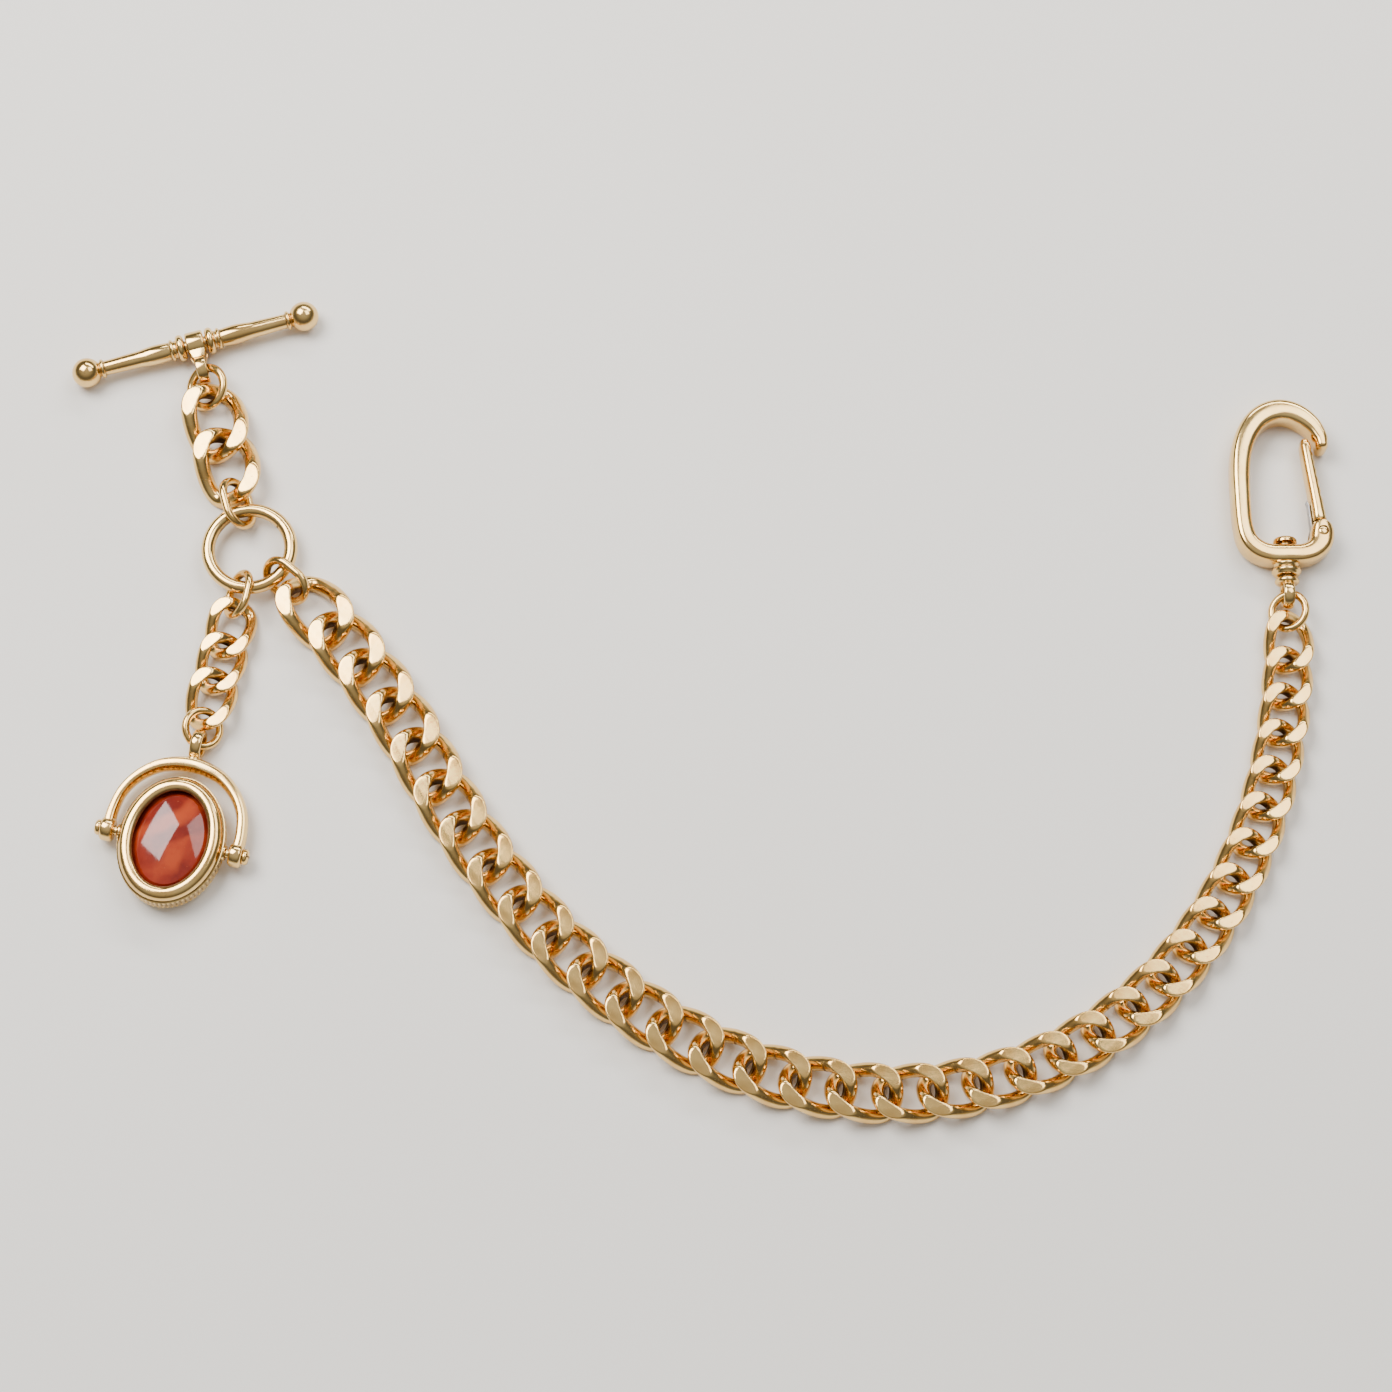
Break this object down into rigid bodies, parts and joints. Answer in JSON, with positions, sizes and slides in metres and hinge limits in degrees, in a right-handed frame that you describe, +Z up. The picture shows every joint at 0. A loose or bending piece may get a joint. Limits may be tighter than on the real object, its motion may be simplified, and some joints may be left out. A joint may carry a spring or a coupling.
{
  "type": "pocket watch chain",
  "caption": "Albert pocket watch chain in gilt brass: T-bar, graduated curb links, spinner fob with a red stone, and a swivel clasp with a sprung gate.",
  "frame": {"origin": "centre of the bounding box at the level the chain lies on", "axes": "+X from the T-bar side towards the clasp side, +Y towards the T-bar and the clasp, away from the hanging fob, +Z up from the surface it lies on"},
  "size_m": [0.1602, 0.1068, 0.0044],
  "materials": {
    "gilt_brass": "polished, worn, darker in the recesses",
    "gilt_brass_fittings": "bright polish with fine scratches",
    "spring_steel": "blued grey, satin",
    "carnelian": "polished"
  },
  "bodies": {
    "toggle_bar": {"toggle_bar": "gilt_brass_fittings"},
    "bar_collar": {"bar_collar": "gilt_brass_fittings"},
    "bar_ring": {"bar_ring": "gilt_brass"},
    "toggle_link_1": {"toggle_link_1": "gilt_brass"},
    "toggle_link_2": {"toggle_link_2": "gilt_brass"},
    "upper_ring": {"upper_ring": "gilt_brass"},
    "centre_ring": {"centre_ring": "gilt_brass_fittings"},
    "main_ring": {"main_ring": "gilt_brass"},
    "link_01": {"link_01": "gilt_brass"},
    "link_02": {"link_02": "gilt_brass"},
    "link_03": {"link_03": "gilt_brass"},
    "link_04": {"link_04": "gilt_brass"},
    "link_05": {"link_05": "gilt_brass"},
    "link_06": {"link_06": "gilt_brass"},
    "link_07": {"link_07": "gilt_brass"},
    "link_08": {"link_08": "gilt_brass"},
    "link_09": {"link_09": "gilt_brass"},
    "link_10": {"link_10": "gilt_brass"},
    "link_11": {"link_11": "gilt_brass"},
    "link_12": {"link_12": "gilt_brass"},
    "link_13": {"link_13": "gilt_brass"},
    "link_14": {"link_14": "gilt_brass"},
    "link_15": {"link_15": "gilt_brass"},
    "link_16": {"link_16": "gilt_brass"},
    "link_17": {"link_17": "gilt_brass"},
    "link_18": {"link_18": "gilt_brass"},
    "link_19": {"link_19": "gilt_brass"},
    "link_20": {"link_20": "gilt_brass"},
    "link_21": {"link_21": "gilt_brass"},
    "link_22": {"link_22": "gilt_brass"},
    "link_23": {"link_23": "gilt_brass"},
    "link_24": {"link_24": "gilt_brass"},
    "link_25": {"link_25": "gilt_brass"},
    "link_26": {"link_26": "gilt_brass"},
    "link_27": {"link_27": "gilt_brass"},
    "link_28": {"link_28": "gilt_brass"},
    "link_29": {"link_29": "gilt_brass"},
    "link_30": {"link_30": "gilt_brass"},
    "link_31": {"link_31": "gilt_brass"},
    "link_32": {"link_32": "gilt_brass"},
    "link_33": {"link_33": "gilt_brass"},
    "link_34": {"link_34": "gilt_brass"},
    "end_ring": {"end_ring": "gilt_brass"},
    "swivel_eye": {"swivel_eye": "gilt_brass_fittings"},
    "clasp_body": {"clasp_body": "gilt_brass_fittings", "gate_pin": "gilt_brass_fittings", "gate_spring": "spring_steel"},
    "clasp_gate": {"clasp_gate": "gilt_brass_fittings"},
    "drop_ring": {"drop_ring": "gilt_brass"},
    "drop_link_1": {"drop_link_1": "gilt_brass"},
    "drop_link_2": {"drop_link_2": "gilt_brass"},
    "drop_link_3": {"drop_link_3": "gilt_brass"},
    "fob_ring": {"fob_ring": "gilt_brass"},
    "fob_stirrup": {"fob_stirrup": "gilt_brass_fittings", "fob_pivot_left": "gilt_brass_fittings", "fob_pivot_right": "gilt_brass_fittings"},
    "fob_bezel": {"fob_bezel": "gilt_brass_fittings", "fob_stone": "carnelian"}
  },
  "joints": [
    {"name": "bar_turn", "type": "hinge", "parent": "toggle_bar", "child": "bar_collar", "pos_m": [-0.06448, 0.04763, 0.0019], "axis": [-0.9613, -0.2756, 0], "continuous": true},
    {"name": "gate_hinge", "type": "hinge", "parent": "clasp_body", "child": "clasp_gate", "pos_m": [0.07858, 0.02152, 0.0019], "axis": [0, 0, 1], "range_deg": [0, 28], "stiffness_Nm_per_rad": 0.01, "springref_deg": -11.46, "deforming": ["gate_spring"]},
    {"name": "clasp_swivel", "type": "hinge", "parent": "swivel_eye", "child": "clasp_body", "pos_m": [0.07393, 0.01592, 0.0019], "axis": [0, 1, 0], "continuous": true},
    {"name": "fob_spin", "type": "hinge", "parent": "fob_stirrup", "child": "fob_bezel", "pos_m": [-0.06442, -0.01872, 0.0022], "axis": [0.9781, -0.2079, 0], "continuous": true},
    {"name": "bar_ring_swing", "type": "hinge", "parent": "bar_collar", "child": "bar_ring", "pos_m": [-0.06347, 0.04412, 0.0019], "axis": [0.9613, 0.2756, 0], "range_deg": [-55, 55]},
    {"name": "fob_swing", "type": "hinge", "parent": "fob_ring", "child": "fob_stirrup", "pos_m": [-0.06178, -0.0063, 0.0022], "axis": [0.9781, -0.2079, 0], "range_deg": [-55, 55]},
    {"name": "swivel_eye_swing", "type": "hinge", "parent": "end_ring", "child": "swivel_eye", "pos_m": [0.07393, 0.01357, 0.0019], "axis": [1, 0, 0], "range_deg": [-55, 55]},
    {"name": "upper_ring_swing", "type": "hinge", "parent": "upper_ring", "child": "centre_ring", "pos_m": [-0.05778, 0.02426, 0.0022], "axis": [0.9613, 0.2756, 0], "range_deg": [-40, 40]},
    {"name": "main_ring_swing", "type": "hinge", "parent": "centre_ring", "child": "main_ring", "pos_m": [-0.05256, 0.01607, 0.0022], "axis": [-0.848, -0.5299, 0], "range_deg": [-40, 16]},
    {"name": "drop_ring_swing", "type": "hinge", "parent": "centre_ring", "child": "drop_ring", "pos_m": [-0.05742, 0.01445, 0.00218], "axis": [0.999, 0.0436, 0], "range_deg": [-40, 24]},
    {"name": "toggle_link_1_turn", "type": "hinge", "parent": "bar_ring", "child": "toggle_link_1", "pos_m": [-0.06228, 0.03997, 0.00187], "axis": [0, 0, -1], "range_deg": [-25, 25]},
    {"name": "toggle_link_2_lift", "type": "hinge", "parent": "toggle_link_1", "child": "toggle_link_2", "pos_m": [-0.06055, 0.03391, 0.00184], "axis": [0.9613, 0.2756, 0], "range_deg": [-22, 22]},
    {"name": "upper_ring_turn", "type": "hinge", "parent": "toggle_link_2", "child": "upper_ring", "pos_m": [-0.05859, 0.02709, 0.00202], "axis": [0, 0, 1], "range_deg": [-25, 25]},
    {"name": "drop_link_1_turn", "type": "hinge", "parent": "drop_ring", "child": "drop_link_1", "pos_m": [-0.05777, 0.01256, 0.00177], "axis": [0, 0, 1], "range_deg": [-20, 14]},
    {"name": "drop_link_2_lift", "type": "hinge", "parent": "drop_link_1", "child": "drop_link_2", "pos_m": [-0.05899, 0.00679, 0.00145], "axis": [-0.9781, 0.2079, 0], "range_deg": [-22, 22]},
    {"name": "drop_link_3_turn", "type": "hinge", "parent": "drop_link_2", "child": "drop_link_3", "pos_m": [-0.05999, 0.00209, 0.00165], "axis": [0, 0, -1], "range_deg": [-25, 25]},
    {"name": "fob_ring_turn", "type": "hinge", "parent": "drop_link_3", "child": "fob_ring", "pos_m": [-0.06099, -0.0026, 0.00195], "axis": [0, 0, 1], "range_deg": [-16, 16]},
    {"name": "link_01_turn", "type": "hinge", "parent": "main_ring", "child": "link_01", "pos_m": [-0.05056, 0.01435, 0.00202], "axis": [0, 0, 1], "range_deg": [-18, 25]},
    {"name": "link_02_lift", "type": "hinge", "parent": "link_01", "child": "link_02", "pos_m": [-0.04569, 0.00918, 0.00183], "axis": [-0.7513, -0.66, 0], "range_deg": [-21, 21]},
    {"name": "link_03_turn", "type": "hinge", "parent": "link_02", "child": "link_03", "pos_m": [-0.04172, 0.00434, 0.00182], "axis": [0, 0, -1], "range_deg": [-30, 22]},
    {"name": "link_04_lift", "type": "hinge", "parent": "link_03", "child": "link_04", "pos_m": [-0.03811, -0.0007, 0.0018], "axis": [0.832, 0.5548, 0], "range_deg": [-21, 21]},
    {"name": "link_05_turn", "type": "hinge", "parent": "link_04", "child": "link_05", "pos_m": [-0.03486, -0.00594, 0.00179], "axis": [0, 0, 1], "range_deg": [-22, 30]},
    {"name": "link_06_lift", "type": "hinge", "parent": "link_05", "child": "link_06", "pos_m": [-0.03199, -0.01134, 0.00178], "axis": [-0.8688, -0.4951, 0], "range_deg": [-21, 21]},
    {"name": "link_07_turn", "type": "hinge", "parent": "link_06", "child": "link_07", "pos_m": [-0.02883, -0.01653, 0.00177], "axis": [0, 0, -1], "range_deg": [-23, 29]},
    {"name": "link_08_lift", "type": "hinge", "parent": "link_07", "child": "link_08", "pos_m": [-0.02539, -0.02148, 0.00175], "axis": [0.8029, 0.5961, 0], "range_deg": [-21, 21]},
    {"name": "link_09_turn", "type": "hinge", "parent": "link_08", "child": "link_09", "pos_m": [-0.02168, -0.02617, 0.00174], "axis": [0, 0, 1], "range_deg": [-30, 22]},
    {"name": "link_10_lift", "type": "hinge", "parent": "link_09", "child": "link_10", "pos_m": [-0.01769, -0.03056, 0.00172], "axis": [-0.7158, -0.6983, 0], "range_deg": [-21, 21]},
    {"name": "link_11_turn", "type": "hinge", "parent": "link_10", "child": "link_11", "pos_m": [-0.01342, -0.03463, 0.00171], "axis": [0, 0, -1], "range_deg": [-22, 30]},
    {"name": "link_12_lift", "type": "hinge", "parent": "link_11", "child": "link_12", "pos_m": [-0.00889, -0.03832, 0.0017], "axis": [0.5983, 0.8013, 0], "range_deg": [-21, 21]},
    {"name": "link_13_turn", "type": "hinge", "parent": "link_12", "child": "link_13", "pos_m": [-0.0041, -0.04159, 0.00169], "axis": [0, 0, 1], "range_deg": [-31, 21]},
    {"name": "link_14_lift", "type": "hinge", "parent": "link_13", "child": "link_14", "pos_m": [0.00093, -0.04439, 0.00167], "axis": [-0.4427, -0.8967, 0], "range_deg": [-21, 21]},
    {"name": "link_15_turn", "type": "hinge", "parent": "link_14", "child": "link_15", "pos_m": [0.00616, -0.04666, 0.00166], "axis": [0, 0, -1], "range_deg": [-20, 32]},
    {"name": "link_16_lift", "type": "hinge", "parent": "link_15", "child": "link_16", "pos_m": [0.01157, -0.04837, 0.00164], "axis": [0.2477, 0.9688, 0], "range_deg": [-21, 21]},
    {"name": "link_17_turn", "type": "hinge", "parent": "link_16", "child": "link_17", "pos_m": [0.01708, -0.04946, 0.00163], "axis": [0, 0, 1], "range_deg": [-33, 19]},
    {"name": "link_18_lift", "type": "hinge", "parent": "link_17", "child": "link_18", "pos_m": [0.02263, -0.04991, 0.00162], "axis": [-0.0216, -0.9998, 0], "range_deg": [-21, 21]},
    {"name": "link_19_turn", "type": "hinge", "parent": "link_18", "child": "link_19", "pos_m": [0.02815, -0.0497, 0.00161], "axis": [0, 0, -1], "range_deg": [-19, 33]},
    {"name": "link_20_lift", "type": "hinge", "parent": "link_19", "child": "link_20", "pos_m": [0.03357, -0.04884, 0.00159], "axis": [-0.2164, 0.9763, 0], "range_deg": [-21, 21]},
    {"name": "link_21_turn", "type": "hinge", "parent": "link_20", "child": "link_21", "pos_m": [0.0388, -0.04734, 0.00158], "axis": [0, 0, 1], "range_deg": [-33, 19]},
    {"name": "link_22_lift", "type": "hinge", "parent": "link_21", "child": "link_22", "pos_m": [0.04376, -0.04525, 0.00157], "axis": [0.4421, -0.8969, 0], "range_deg": [-21, 21]},
    {"name": "link_23_turn", "type": "hinge", "parent": "link_22", "child": "link_23", "pos_m": [0.04841, -0.04261, 0.00155], "axis": [0, 0, -1], "range_deg": [-19, 33]},
    {"name": "link_24_lift", "type": "hinge", "parent": "link_23", "child": "link_24", "pos_m": [0.05269, -0.03948, 0.00154], "axis": [-0.6339, 0.7734, 0], "range_deg": [-21, 21]},
    {"name": "link_25_turn", "type": "hinge", "parent": "link_24", "child": "link_25", "pos_m": [0.05656, -0.03593, 0.00153], "axis": [0, 0, 1], "range_deg": [-32, 20]},
    {"name": "link_26_lift", "type": "hinge", "parent": "link_25", "child": "link_26", "pos_m": [0.06001, -0.03203, 0.00151], "axis": [0.7802, -0.6255, 0], "range_deg": [-21, 21]},
    {"name": "link_27_turn", "type": "hinge", "parent": "link_26", "child": "link_27", "pos_m": [0.06304, -0.02785, 0.0015], "axis": [0, 0, -1], "range_deg": [-21, 31]},
    {"name": "link_28_lift", "type": "hinge", "parent": "link_27", "child": "link_28", "pos_m": [0.06566, -0.02344, 0.00149], "axis": [-0.8809, 0.4734, 0], "range_deg": [-21, 21]},
    {"name": "link_29_turn", "type": "hinge", "parent": "link_28", "child": "link_29", "pos_m": [0.06786, -0.01888, 0.00147], "axis": [0, 0, 1], "range_deg": [-30, 22]},
    {"name": "link_30_lift", "type": "hinge", "parent": "link_29", "child": "link_30", "pos_m": [0.0697, -0.0142, 0.00146], "axis": [0.9439, -0.3304, 0], "range_deg": [-21, 21]},
    {"name": "link_31_turn", "type": "hinge", "parent": "link_30", "child": "link_31", "pos_m": [0.07117, -0.00944, 0.00145], "axis": [0, 0, -1], "range_deg": [-22, 30]},
    {"name": "link_32_lift", "type": "hinge", "parent": "link_31", "child": "link_32", "pos_m": [0.07232, -0.00464, 0.00143], "axis": [-0.9796, 0.2009, 0], "range_deg": [-21, 21]},
    {"name": "link_33_turn", "type": "hinge", "parent": "link_32", "child": "link_33", "pos_m": [0.07315, 0.00018, 0.00142], "axis": [0, 0, 1], "range_deg": [-29, 23]},
    {"name": "link_34_lift", "type": "hinge", "parent": "link_33", "child": "link_34", "pos_m": [0.07368, 0.005, 0.00141], "axis": [0.9967, -0.0815, 0], "range_deg": [-21, 21]},
    {"name": "end_ring_turn", "type": "hinge", "parent": "link_34", "child": "end_ring", "pos_m": [0.07393, 0.01059, 0.00165], "axis": [0, 0, -1], "range_deg": [-18, 18]}
  ]
}
